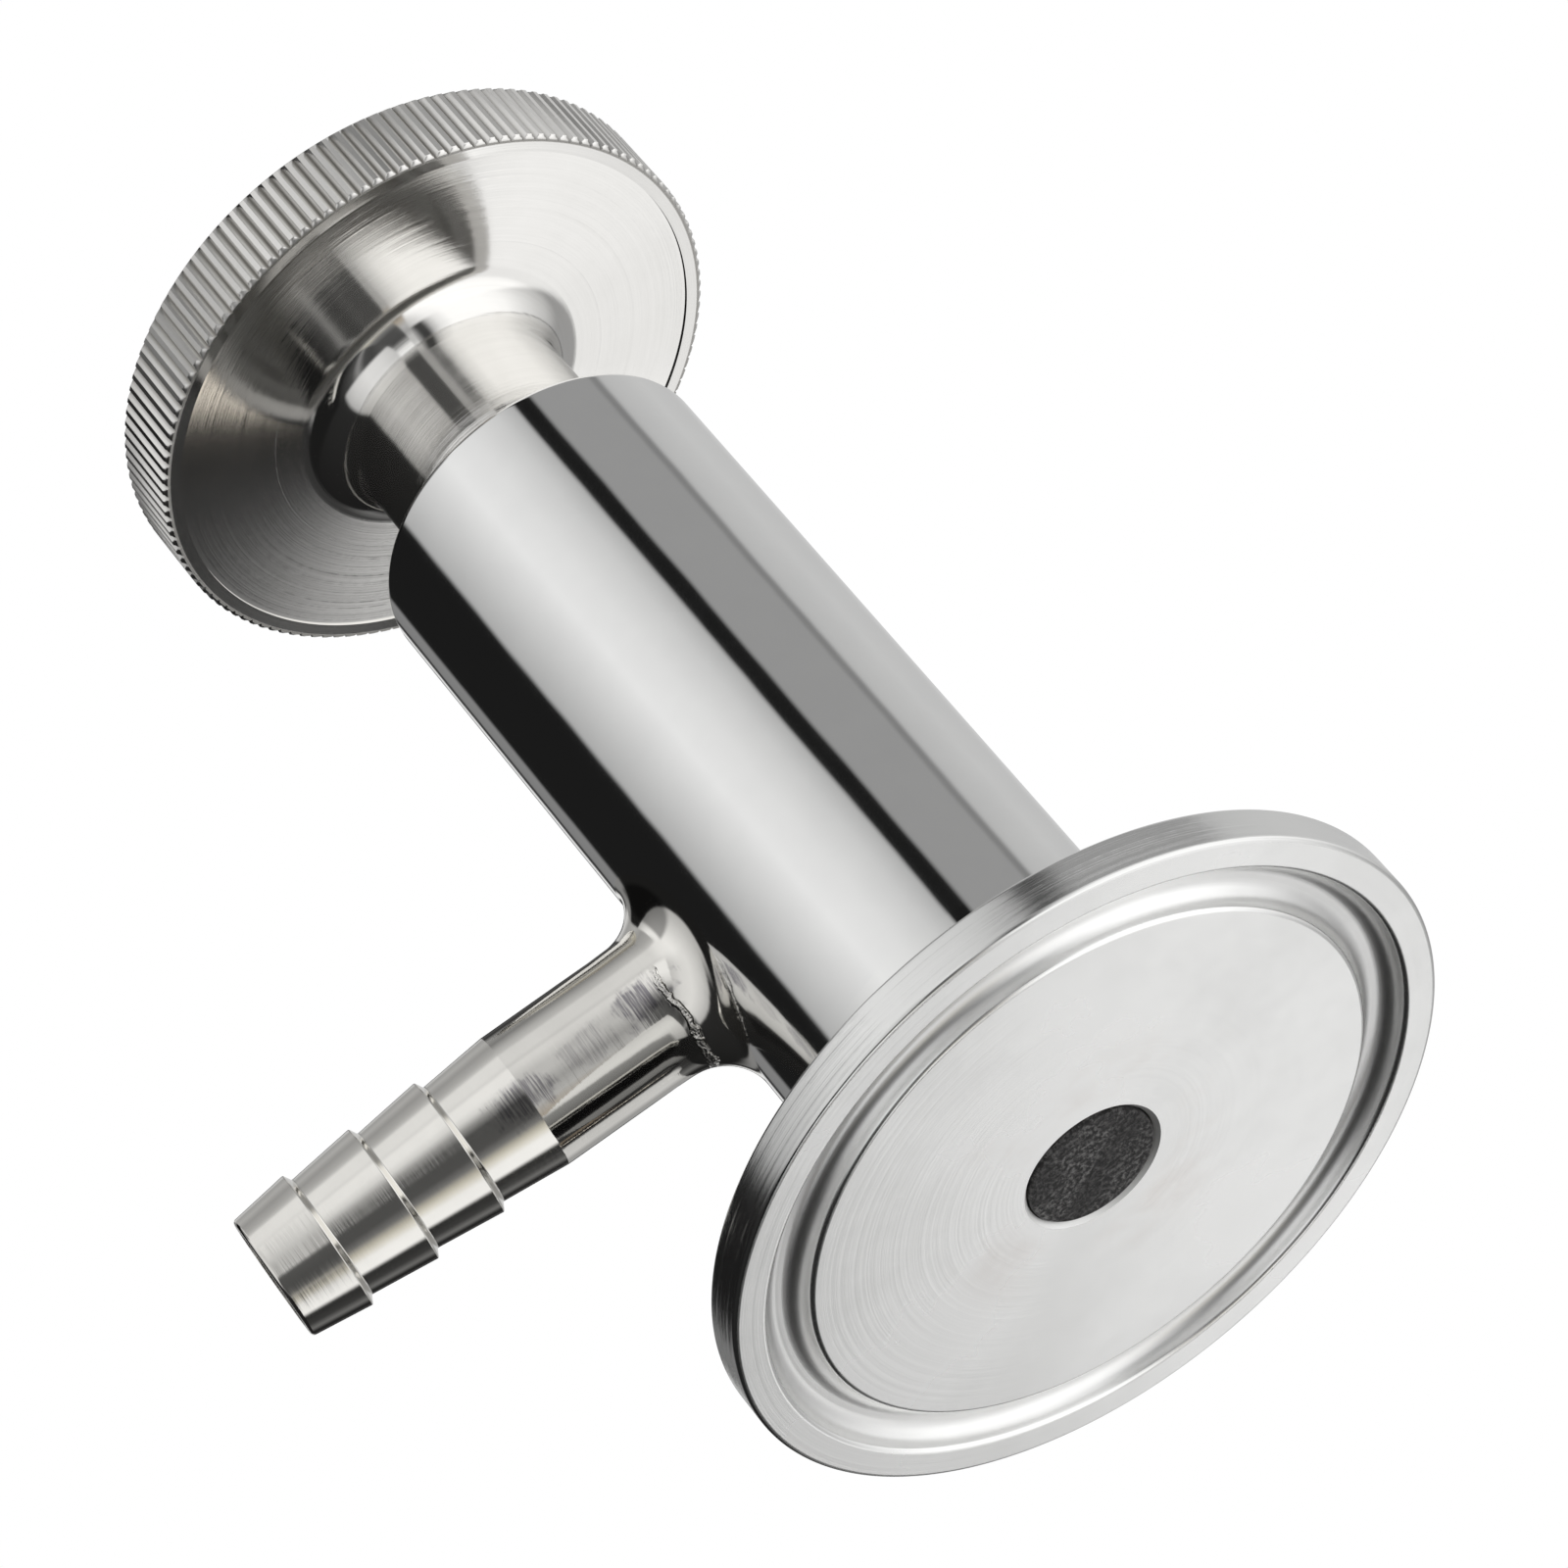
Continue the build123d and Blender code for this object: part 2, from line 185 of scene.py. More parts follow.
# Adds nodes to one tree: a node's type, its settings, then the values or wires of its sockets
class Maker:
    def __init__(self, tree):
        self.tree = tree

    def node(self, kind, settings=None, values=None):
        made = self.tree.nodes.new(kind)
        for key, value in (settings or {}).items():
            if key == "stops":
                fillRamp(made.color_ramp, value)
            else:
                setattr(made, key, value)
        for key, value in (values or {}).items():
            if isinstance(value, Wire):
                self.tree.links.new(value.socket, made.inputs[key])
            else:
                made.inputs[key].default_value = value
        return [Wire(self, socket) for socket in made.outputs]

    def objectPoint(self):
        return self.node("ShaderNodeTexCoord")[3]

    def split(self, vector):
        return self.node("ShaderNodeSeparateXYZ", {}, {0: vector})

    def join(self, x, y, z):
        return self.node("ShaderNodeCombineXYZ", {}, {0: x, 1: y, 2: z})[0]

    def noise(self, vector, scale, detail=2.0, roughness=0.5):
        values = {"Vector": vector, "Scale": scale, "Detail": detail, "Roughness": roughness}
        return self.node("ShaderNodeTexNoise", {}, values)[0]

    def ramp(self, value, stops):
        return self.node("ShaderNodeValToRGB", {"stops": stops}, {0: value})[0]

    # 0 where the value is at `low` or beyond it, 1 at `high`, smooth between them
    def step(self, value, low, high):
        settings = {"interpolation_type": "SMOOTHSTEP"}
        return self.node("ShaderNodeMapRange", settings, {0: value, 1: low, 2: high})[0]

    def mixColour(self, factor, first, second):
        return self.node("ShaderNodeMix", {"data_type": "RGBA"}, {0: factor, 6: first, 7: second})[2]

    def vectorMaths(self, operation, first, second):
        return self.node("ShaderNodeVectorMath", {"operation": operation}, {0: first, 1: second})[0]

    def scaled(self, vector, factor):
        return self.node("ShaderNodeVectorMath", {"operation": "SCALE"}, {0: vector, 3: factor})[0]

    def bump(self, height, strength, distance, normal=None):
        values = {"Height": height, "Strength": strength, "Distance": distance}
        if normal is not None:
            values["Normal"] = normal
        return self.node("ShaderNodeBump", {}, values)[0]


def fillRamp(ramp, stops):
    while len(ramp.elements) < len(stops):
        ramp.elements.new(0.5)
    for element, (position, colour) in zip(ramp.elements, stops):
        element.position = position
        element.color = (*colour, 1) if isinstance(colour, tuple) else (colour, colour, colour, 1)


# A material with a Principled shader; `paint` gets its maker and returns the shader's sockets
def finishNamed(name, paint):
    material = bpy.data.materials.new(name)
    material.use_nodes = True
    tree = material.node_tree
    tree.nodes.clear()
    maker = Maker(tree)
    surface = maker.node("ShaderNodeBsdfPrincipled", {}, paint(maker))[0]
    maker.node("ShaderNodeOutputMaterial", {}, {0: surface})
    return material


# Unit vector away from the valve's axis, and the distance from it
def awayFromAxis(maker, point):
    x, y, z = maker.split(point)
    radius = (y * y + z * z) ** 0.5
    return maker.join(0.0, y / radius, z / radius), radius


# Lathe lines spread a reflection across themselves: the normal leans along `across` by a fine
# noise of the distance along it, so reflections smear that way only
lathe = {
    "wanderLength": 40,  # in pitches
    "wander": 0.6,
    "coarsePitch": 11,  # in pitches
    "coarseWander": 0.3,
    "coarseSlice": 3.0,  # another layer of the same noise
    "coarseShare": 0.08,
}


def latheNormal(maker, across, distance, point, amount, pitch):
    sway = maker.noise(maker.scaled(point, 1 / (lathe["wanderLength"] * pitch)), 1.0, 1.0)
    fine = maker.noise(maker.join(distance / pitch, sway * lathe["wander"], 0.0), 1.0, 1.0)
    wide = distance / (lathe["coarsePitch"] * pitch)
    wide = maker.join(wide, sway * lathe["coarseWander"], lathe["coarseSlice"])
    coarse = maker.noise(wide, 1.0, 2.0)
    lines = fine * (1 - lathe["coarseShare"]) + coarse * lathe["coarseShare"]
    across = maker.node(
        "ShaderNodeVectorTransform",
        {"vector_type": "VECTOR", "convert_from": "OBJECT", "convert_to": "WORLD"},
        {0: across},
    )[0]
    normal = maker.node("ShaderNodeNewGeometry")[1]
    leaning = maker.vectorMaths("ADD", normal, maker.scaled(across, (lines - 0.5) * amount))
    return maker.vectorMaths("NORMALIZE", leaning, (0, 0, 0)), fine


# Finishes. Their places are in metres, as pairs between which a mask comes in or goes out, and
# their noises are (scale, detail, roughness).

mirrorSteel = {"tint": (0.80, 0.80, 0.79, 1), "roughness": 0.055}

barrelFinish = {
    "tints": [(0.77, 0.77, 0.765, 1), (0.83, 0.83, 0.82, 1)],
    "cloud": (260.0, 4.0, 0.6),
    "cloudRoughness": 0.035,
    "ripple": (95.0, 1.5),
    "rippleDepth": 0.00006,
    "endBehind": (-0.0663, -0.0660),  # X
    "endTint": (0.92, 0.91, 0.89, 1),
    "endRoughness": 0.35,
}


# Polished tube: close to a mirror, with a slight ripple that bends the edges of reflections.
# Its end is left as it was cut.
def paintBarrel(maker):
    b = barrelFinish
    point = maker.objectPoint()
    cloud = maker.noise(point, *b["cloud"])
    end = 1 - maker.step(maker.split(point)[0], *b["endBehind"])
    polished = maker.mixColour(cloud, *b["tints"])
    return {
        "Base Color": maker.mixColour(end, polished, b["endTint"]),
        "Metallic": 1.0,
        "Roughness": mirrorSteel["roughness"] + cloud * b["cloudRoughness"] + end * b["endRoughness"],
        "Normal": maker.bump(maker.noise(point, *b["ripple"]), 1.0, b["rippleDepth"]),
    }


ferruleFinish = {
    "tints": [(0.88, 0.88, 0.87, 1), (1.0, 1.0, 0.99, 1)],
    "roughness": 0.13,
    "depth": 0.0006,
    "faceFrom": (-0.0024, -0.0019),  # X
    "flatFrom": (-0.0004, -0.0001),  # X
    "flatRoughness": 0.06,
    "smudge": (55.0, 4.0, 0.6),
    "smudgeRange": (0.30, 0.62),
    "smudgeRoughness": 0.05,
    "ringsPerMetre": 2600.0,
    "rings": (1.0, 3.0, 0.7),
    "ringSway": 1.2,
    "ringDepth": 0.012,
    "ripple": (110.0, 2.0),
    "rippleDepth": 0.10,
    "bandFrom": (0.0250, 0.0252),  # radius, as below
    "bandRoughness": 0.13,
    "bandLean": 0.8,
    "bandPitch": 0.00002,
    "portTo": (0.00490, 0.00494),
    "portRoughness": 0.35,
    "grooveFrom": (0.0197, 0.0200),
    "grooveTo": (0.0229, 0.0232),
    "grooveRoughness": 0.14,
    "stainFrom": (0.0052, 0.0072),
    "stainTo": (0.0080, 0.0125),
    "stain": (130.0, 4.0, 0.65),
    "stainRange": (0.42, 0.72),
    "stainTint": (0.84, 0.80, 0.77, 1),
    "stainShare": 0.5,
}


# Clamp ferrule: a satin face turned in circles, slightly stained round the port, a duller groove
# and port edge, a rim with lathe lines, and a polished back and neck
def paintFerrule(maker):
    f = ferruleFinish
    point = maker.objectPoint()
    x = maker.split(point)[0]
    radius = awayFromAxis(maker, point)[1]
    band = maker.step(radius, *f["bandFrom"])
    face = maker.step(x, *f["faceFrom"]) * (1 - band)
    flat = maker.step(x, *f["flatFrom"])
    port = 1 - maker.step(radius, *f["portTo"])
    groove = maker.step(radius, *f["grooveFrom"]) * (1 - maker.step(radius, *f["grooveTo"])) * (1 - flat)
    smudge = maker.noise(point, *f["smudge"])
    satin = maker.mixColour(maker.step(smudge, *f["smudgeRange"]), *f["tints"])
    stain = maker.step(radius, *f["stainFrom"]) * (1 - maker.step(radius, *f["stainTo"]))
    stain = stain * maker.step(maker.noise(point, *f["stain"]), *f["stainRange"])
    satin = maker.mixColour(stain * f["stainShare"], satin, f["stainTint"])
    satinRoughness = f["roughness"] + flat * f["flatRoughness"] + smudge * f["smudgeRoughness"]
    satinRoughness = satinRoughness + port * f["portRoughness"] + groove * f["grooveRoughness"]
    rings = maker.join(radius * f["ringsPerMetre"], smudge * f["ringSway"], 0.0)
    rings = maker.noise(rings, *f["rings"])
    ripple = maker.noise(point, *f["ripple"])
    height = ripple * (1 - face) * f["rippleDepth"] + rings * face * f["ringDepth"]
    lined = latheNormal(maker, (1.0, 0.0, 0.0), x, point, band * f["bandLean"], f["bandPitch"])[0]
    return {
        "Base Color": maker.mixColour(face, mirrorSteel["tint"], satin),
        "Metallic": 1.0,
        "Roughness": mirrorSteel["roughness"] + band * f["bandRoughness"] + face * satinRoughness,
        "Normal": maker.bump(height, 1.0, f["depth"], lined),
    }


outletFinish = {
    "tints": [(0.76, 0.745, 0.71, 1), (0.87, 0.855, 0.815, 1)],
    "roughness": 0.045,
    "lineRoughness": 0.03,
    "cloud": (300.0, 4.0, 0.6),
    "lean": 0.05,
    "pitch": 0.00003,
    "conesBelow": (-0.0249, -0.0245),  # Z
    "conesLean": 0.02,
    "conesRoughness": 0.055,
    "weldFrom": (-0.0172, -0.0150),  # Z
    "pits": (1500.0, 3.0, 0.6),
    "pitRoughness": 0.04,
    "seam": 0.0139,  # from the valve's axis
    "seamWander": (420.0, 3.0, 0.7),
    "seamReach": 0.0012,
    "seamWidth": (1.0e-8, 1.0e-7),  # squares of the distance from the seam's line
    "seamSide": (0.0005, 0.0030),  # X from the outlet's axis
    "seamRoughness": 0.15,
    "seamDepth": 0.0005,
    # painted reflection: places of dark patches that stand in for streaky dark reflections on the shank
    "paintedReflectionPatches": [  # middle from the outlet's axis, radius, strength
        ((0.0022, -0.0043, -0.0154), 0.0016, 0.85),
        ((0.0023, -0.0042, -0.0200), 0.0015, 0.35),
        ((0.0026, -0.0041, -0.0252), 0.0017, 0.75),
    ],
    # painted reflection: the dark colour of those patches
    "paintedReflectionTint": (0.19, 0.18, 0.21, 1),
    "reflectionPatchStretch": 0.4,  # of the squared distance along the outlet
    "reflectionPatchEdge": (650.0, 3.0, 0.6),
    "reflectionPatchReach": 0.0032,
    "hatchPerMetre": (330.0, 9000.0),
    "hatch": (1.0, 3.0, 0.7),
    "hatchRange": (0.36, 0.60),
}


# Strength of the painted dark reflections at a point: ragged patches, hatched across the outlet's axis
def paintedReflectionAt(maker, point, x, y, z):
    o = outletFinish
    ragged = (maker.noise(point, *o["reflectionPatchEdge"]) - 0.5) * o["reflectionPatchReach"]
    reflectionDarkening = 0.0
    for (px, py, pz), reach, strength in o["paintedReflectionPatches"]:
        along = (z - pz) * (z - pz) * o["reflectionPatchStretch"]
        apart = ((x - px) * (x - px) + (y - py) * (y - py) + along) ** 0.5
        reflectionDarkening = reflectionDarkening + (1 - maker.step(apart + ragged, reach / 2, reach)) * strength
    around, down = o["hatchPerMetre"]
    hatch = maker.noise(maker.join(x * around, y * around, z * down), *o["hatch"])
    return reflectionDarkening * maker.step(hatch, *o["hatchRange"])


# Hose outlet: lathe lines round its own axis, stronger on the cones, with a pitted seam and a
# few patches of painted dark reflection on the side that faces the clamp
def paintOutlet(maker):
    o = outletFinish
    point = maker.objectPoint()
    centred = maker.vectorMaths("SUBTRACT", point, (outlet["station"] * mm, 0, 0))
    x, y, z = maker.split(centred)
    cones = 1 - maker.step(z, *o["conesBelow"])
    weld = maker.step(z, *o["weldFrom"])
    lean = cones * o["conesLean"] + o["lean"]
    normal, fine = latheNormal(maker, (0.0, 0.0, 1.0), z, centred, lean, o["pitch"])
    cloud = maker.noise(point, *o["cloud"])
    pitted = maker.noise(point, *o["pits"])
    wander = maker.noise(point, *o["seamWander"]) - 0.5
    line = z + o["seam"] + wander * o["seamReach"]
    seam = (1 - maker.step(line * line, *o["seamWidth"])) * maker.step(x, *o["seamSide"])
    roughness = o["roughness"] + cones * o["conesRoughness"] + fine * o["lineRoughness"]
    roughness = roughness + weld * pitted * o["pitRoughness"] + seam * o["seamRoughness"]
    colour = maker.mixColour(cloud, *o["tints"])
    return {
        # painted reflection: dark patches mixed into the base colour
        "Base Color": maker.mixColour(paintedReflectionAt(maker, point, x, y, z), colour, o["paintedReflectionTint"]),
        "Metallic": 1.0,
        "Roughness": roughness,
        "Normal": maker.bump(seam * pitted, 1.0, o["seamDepth"], normal),
    }


wheelFinish = {
    "tints": [(0.77, 0.76, 0.735, 1), (0.91, 0.90, 0.88, 1)],
    "cloud": (220.0, 4.0, 0.6),
    "cloudShare": 0.55,
    "cloudRoughness": 0.02,
    "ringsPerMetre": 3600.0,
    "rings": (1.0, 3.0, 0.7),
    "ringShare": 0.45,
    "roughness": 0.055,
    "lineRoughness": 0.03,
    "lean": 0.20,
    "pitch": 0.000015,
    "discFrom": (0.0084, 0.0100),  # radius, as below
    "discLean": 0.05,
    "landFrom": (0.0193, 0.0194),
    "landAbove": (-0.0815, -0.0812),  # X
    "landLean": 0.20,
    "rimFrom": (0.0203, 0.0204),
    "rimRoughness": 0.225,
    "ridgeFrom": (0.02045, 0.0207),
    # painted shade: a dark tint for the knurl's valleys, where shade would fall
    "valleyShadeTint": (0.34, 0.33, 0.31, 1),
    "valleyShadeShare": 0.75,
}


# Handwheel: turned in circles under the disc and along the neck, a smooth land round the disc's
# edge, and a rougher knurl whose valleys are darkened with painted shade
def paintHandwheel(maker):
    w = wheelFinish
    point = maker.objectPoint()
    x = maker.split(point)[0]
    away, radius = awayFromAxis(maker, point)
    disc = maker.step(radius, *w["discFrom"])
    rim = maker.step(radius, *w["rimFrom"])
    land = maker.step(radius, *w["landFrom"]) * maker.step(x, *w["landAbove"])
    along = maker.join(1.0, 0.0, 0.0)
    across = maker.node("ShaderNodeMix", {"data_type": "VECTOR"}, {0: disc, 4: along, 5: away})[1]
    distance = radius * disc + x * (1 - disc)
    lean = w["lean"] + disc * w["discLean"] - land * w["landLean"]
    normal, fine = latheNormal(maker, across, distance, point, lean, w["pitch"])
    cloud = maker.noise(point, *w["cloud"])
    rings = maker.join(radius * w["ringsPerMetre"], x * w["ringsPerMetre"], 0.0)
    rings = maker.noise(rings, *w["rings"])
    colour = maker.mixColour(cloud * w["cloudShare"] + rings * w["ringShare"], *w["tints"])
    # painted shade: the knurl's valleys are darkened in the base colour
    valley = (1 - maker.step(radius, *w["ridgeFrom"])) * rim
    roughness = w["roughness"] + fine * w["lineRoughness"] + rim * w["rimRoughness"]
    return {
        "Base Color": maker.mixColour(valley * w["valleyShadeShare"], colour, w["valleyShadeTint"]),
        "Metallic": 1.0,
        "Roughness": roughness + cloud * w["cloudRoughness"],
        "Normal": normal,
    }


smallSteel = {
    "tints": [(0.74, 0.74, 0.73, 1), (0.85, 0.85, 0.84, 1)],
    "cloud": (300.0, 3.0),
    "lean": 0.10,
    "pitch": 0.00012,
    "roughness": 0.20,
    "lineRoughness": 0.06,
}
bronze = {
    "tints": [(0.62, 0.38, 0.17, 1), (0.78, 0.53, 0.27, 1)],
    "cloud": (260.0, 4.0),
    "lean": 0.10,
    "pitch": 0.00015,
    "roughness": 0.26,
    "lineRoughness": 0.08,
}


# Small turned parts: satin metal with rings round the valve's axis
def turnedOf(metal):
    def paintTurned(maker):
        point = maker.objectPoint()
        away, radius = awayFromAxis(maker, point)
        normal, fine = latheNormal(maker, away, radius, point, metal["lean"], metal["pitch"])
        return {
            "Base Color": maker.mixColour(maker.noise(point, *metal["cloud"]), *metal["tints"]),
            "Metallic": 1.0,
            "Roughness": metal["roughness"] + fine * metal["lineRoughness"],
            "Normal": normal,
        }

    return paintTurned


capSocketShade = {
    "within": (0.0030, 0.0031),  # radius
    "below": (-0.08682, -0.08670),  # X
    # painted shade: the dark colour of the socket's inside
    "tint": (0.33, 0.325, 0.32, 1),
    "roughness": 0.15,
}


# The cap is turned like them, and its hexagon socket gets painted shade, a darker colour where its walls
# would shade it, and a rougher finish
def paintCap(maker):
    c = capSocketShade
    finish = turnedOf(smallSteel)(maker)
    point = maker.objectPoint()
    radius = awayFromAxis(maker, point)[1]
    shadedSocket = (1 - maker.step(radius, *c["within"])) * maker.step(maker.split(point)[0], *c["below"])
    # painted shade: the socket's inside is darkened in the base colour
    finish["Base Color"] = maker.mixColour(shadedSocket, finish["Base Color"], c["tint"])
    finish["Roughness"] = finish["Roughness"] + shadedSocket * c["roughness"]
    return finish


springSteel = {
    "tints": [(0.20, 0.20, 0.22, 1), (0.34, 0.33, 0.33, 1)],
    "grain": (1800.0, 3.0),
    "metallic": 1.0,
    "roughness": 0.32,
    "grainRoughness": 0.10,
    "bump": (0.4, 0.00002),  # strength and depth
}
fluoroplastic = {
    "tints": [(0.84, 0.84, 0.82, 1), (0.90, 0.90, 0.89, 1)],
    "grain": (900.0, 3.0),
    "metallic": 0.0,
    "roughness": 0.42,
    "grainRoughness": 0.10,
    "bump": (0.25, 0.00003),
}


# Small parts whose finish is a fine grain: the dark spring ring and the white bush
def grainyOf(stuff):
    def paintGrainy(maker):
        grain = maker.noise(maker.objectPoint(), *stuff["grain"])
        return {
            "Base Color": maker.mixColour(grain, *stuff["tints"]),
            "Metallic": stuff["metallic"],
            "Roughness": stuff["roughness"] + grain * stuff["grainRoughness"],
            "Normal": maker.bump(grain, *stuff["bump"]),
        }

    return paintGrainy


rubber = {
    "black": [(0.014, 0.013, 0.013, 1), (0.22, 0.215, 0.21, 1)],
    "grey": [(0.34, 0.335, 0.32, 1), (0.46, 0.455, 0.44, 1)],
    "grain": (2900.0, 5.0, 0.75),
    "grainRoughness": 0.22,
    "grainDepth": 0.0004,
    "speckRange": (0.44, 0.64),
    "speckLeast": 0.45,
    "worn": (240.0, 2.0),
    "wornRange": (0.40, 0.60),
    "roughness": 0.34,
    "gloss": 0.42,
}


# Moulded rubber with a fine grain and paler specks, which are thicker where it is worn
def rubberOf(shade):
    def paintRubber(maker):
        r = rubber
        point = maker.objectPoint()
        grain = maker.noise(point, *r["grain"])
        worn = maker.step(maker.noise(point, *r["worn"]), *r["wornRange"])
        speck = maker.step(grain, *r["speckRange"]) * (r["speckLeast"] + worn * (1 - r["speckLeast"]))
        return {
            "Base Color": maker.mixColour(speck, *r[shade]),
            "Roughness": r["roughness"] + grain * r["grainRoughness"],
            "Specular IOR Level": r["gloss"],
            "Normal": maker.bump(grain, 1.0, r["grainDepth"]),
        }

    return paintRubber


# Clamp ferrule

ferrule = {
    "rimThickness": 2.85,
    "rimRounding": 0.3,
    "backSlope": math.tan(math.radians(20)),
    "grooveRadius": 21.45,
    "grooveMouth": 3.1,
    "grooveFloor": 2.2,
    "grooveDepth": 1.35,
    "floorRounding": 1.2,
    "shoulderRounding": 0.35,
    "neckRounding": 3.2,
    "neckEnd": 13.0,
    "portRadius": 4.6,
    "portLength": 2.2,
    "portChamfer": 0.32,
    "columns": 384,
}
barrel = {
    "ledgeStart": 33.6,
    "endRounding": 0.45,
    "clipDepth": 0.6,
    "clipStart": 62.82,
    "clipEnd": 64.08,
    "holeRadius": 4.53,
    "columns": 288,
    "patchHalfLength": 6.0,
    "patchColumns": 27,
    "patchRows": 12,
    "patchRings": 7,
    "patchMargin": 0.05,
}


def ferruleProfile():
    f = ferrule
    neckStart = f["rimThickness"] + (ferruleRadius - tubeRadius) * f["backSlope"]
    coneEnd = f["portLength"] + chamberRadius - f["portRadius"]
    corners = [
        (f["portRadius"] + f["portChamfer"], 0, 0),
        (f["grooveRadius"] - f["grooveMouth"] / 2, 0, f["shoulderRounding"]),
        (f["grooveRadius"] - f["grooveFloor"] / 2, f["grooveDepth"], f["floorRounding"]),
        (f["grooveRadius"] + f["grooveFloor"] / 2, f["grooveDepth"], f["floorRounding"]),
        (f["grooveRadius"] + f["grooveMouth"] / 2, 0, f["shoulderRounding"]),
        (ferruleRadius, 0, f["rimRounding"]),
        (ferruleRadius, f["rimThickness"], f["rimRounding"]),
        (tubeRadius, neckStart, f["neckRounding"]),
        (tubeRadius, f["neckEnd"], 0),
        (chamberRadius, f["neckEnd"], 0),
        (chamberRadius, coneEnd, 0),
        (f["portRadius"], f["portLength"], 0),
        (f["portRadius"], f["portChamfer"], 0),
    ]
    return roundedLine(corners)


# Barrel and hose outlet

outlet = {
    "station": -28.5,
    "reach": 43.95,
    "boreRadius": 3.5,
    "shankRadius": 4.8,
    "shankRounding": 0.8,
    "spigotRadius": 4.5,
    "tipRadius": 4.34,
    "tipRounding": 0.25,
    "crestRadius": 4.9,
    "valleyRadius": 4.35,
    "valleyWidth": 0.3,
    "valleyRounding": 0.12,
    "firstCone": 4.2,
    "pitch": 5.0,
    "barbs": 3,
    "weldRounding": 4.0,
    "weldRoom": 0.4,
    "weldSteps": 16,
    "rootSpread": 0.12,
    "columns": 224,
    "sharp": 22,
}


# The wall's profile, with points at the rows of the patches over the outlet, outside and inside
def barrelProfile(outerRows, innerRows):
    b = barrel
    corners = [(chamberRadius, ferrule["neckEnd"], 0), (tubeRadius, ferrule["neckEnd"], 0)]
    corners += [(tubeRadius, height, 0) for height in outerRows]
    corners += [
        (tubeRadius, tubeEnd, b["endRounding"]),
        (boreRadius, tubeEnd, 0),
        (boreRadius, b["clipEnd"], 0),
        (boreRadius + b["clipDepth"], b["clipEnd"], 0),
        (boreRadius + b["clipDepth"], b["clipStart"], 0),
        (boreRadius, b["clipStart"], 0),
        (boreRadius, b["ledgeStart"], 0),
        (chamberRadius, b["ledgeStart"], 0),
    ]
    corners += [(chamberRadius, height, 0) for height in innerRows[::-1]]
    return roundedLine(corners)


# First and last column of the grid on the wall of this radius between two heights
def columnsBetween(profile, radius, low, high):
    onWall = np.isclose(profile[:, 0], radius * mm)
    ends = [np.flatnonzero(onWall & np.isclose(profile[:, 1], height * mm))[0] for height in (low, high)]
    return min(ends), max(ends)


# Grid places (row, column) round a rectangle, in order
def roundRectangle(firstRow, lastRow, firstColumn, lastColumn):
    rows = np.arange(firstRow, lastRow + 1)
    columns = np.arange(firstColumn, lastColumn + 1)
    return np.vstack([
        np.stack([rows, 0 * rows + firstColumn], -1)[:-1],
        np.stack([0 * columns + lastRow, columns], -1)[:-1],
        np.stack([rows[::-1], 0 * rows + lastColumn], -1)[:-1],
        np.stack([0 * columns + firstRow, columns[::-1]], -1)[:-1],
    ])


# Ring u of a patch is (1 - u) hole edge + u rectangle edge, in angle and height, wound back onto
# the cylinder. The hole's edge at angle q is (asin(hole sin q / radius), hole cos q).
def patchOver(radius, theta, height):
    station = -outlet["station"]
    around = np.arctan2(tubeRadius * theta, height)
    holeTheta = np.arcsin(barrel["holeRadius"] * np.sin(around) / radius)
    holeHeight = barrel["holeRadius"] * np.cos(around)
    u = np.linspace(0, 1, barrel["patchRings"])[:, None]
    a = math.pi + (1 - u) * holeTheta + u * theta
    h = station + (1 - u) * holeHeight + u * height
    return np.stack([-h, radius * np.sin(a), radius * np.cos(a)], -1) * mm


# Both edges of the hole, the inner one with its order and start matched to the outer one's
def matchedEdges(outer, inner):
    station = -outlet["station"] * mm
    outerAround, innerAround = (np.arctan2(edge[:, 1], -edge[:, 0] - station) for edge in (outer, inner))
    ways = [np.diff(np.unwrap(around)).sum() > 0 for around in (outerAround, innerAround)]
    if ways[0] != ways[1]:
        inner, innerAround = inner[::-1], innerAround[::-1]
    offset = np.argmin(np.abs(np.angle(np.exp(1j * (innerAround - outerAround[0])))))
    return np.stack([outer, np.roll(inner, -offset, axis=0)])


# The wall is a turned grid with a rectangle left out over the outlet, outside and inside. A patch
# with the hole takes its place on each side, and a last sheet joins the edges of both holes.
def makeBarrel(finish):
    b = barrel
    station, half = -outlet["station"], b["patchHalfLength"]
    outerRows = np.linspace(station - half, station + half, b["patchRows"] + 1)
    innerRows = np.append(outerRows[:-1], min(outerRows[-1], b["ledgeStart"] - b["patchMargin"]))
    profile = barrelProfile(outerRows, innerRows)
    angles = evenAngles(b["columns"])
    grid = turnedGrid(profile, angles)
    quads = gridQuads(*grid.shape[:2], True, True)
    keep = np.ones(quads.shape[:2], dtype=bool)
    firstRow, lastRow = b["columns"] // 2 - b["patchColumns"], b["columns"] // 2 + b["patchColumns"]
    patches = []
    for radius, heights in ((tubeRadius, outerRows), (chamberRadius, innerRows)):
        firstColumn, lastColumn = columnsBetween(profile, radius, heights[0], heights[-1])
        keep[firstRow:lastRow, firstColumn:lastColumn] = False
        row, column = roundRectangle(firstRow, lastRow, firstColumn, lastColumn).T
        patches.append(patchOver(radius, angles[row] - math.pi, profile[column, 1] / mm - station))
    wall = matchedEdges(*(patch[0] for patch in patches))
    sheets = [(grid, quads[keep])]
    sheets += [(sheet, gridQuads(*sheet.shape[:2], False, True)) for sheet in (*patches, wall)]
    return makePiece("polished_barrel", sheets, finish, "valve_body", ["barrel_tube"])


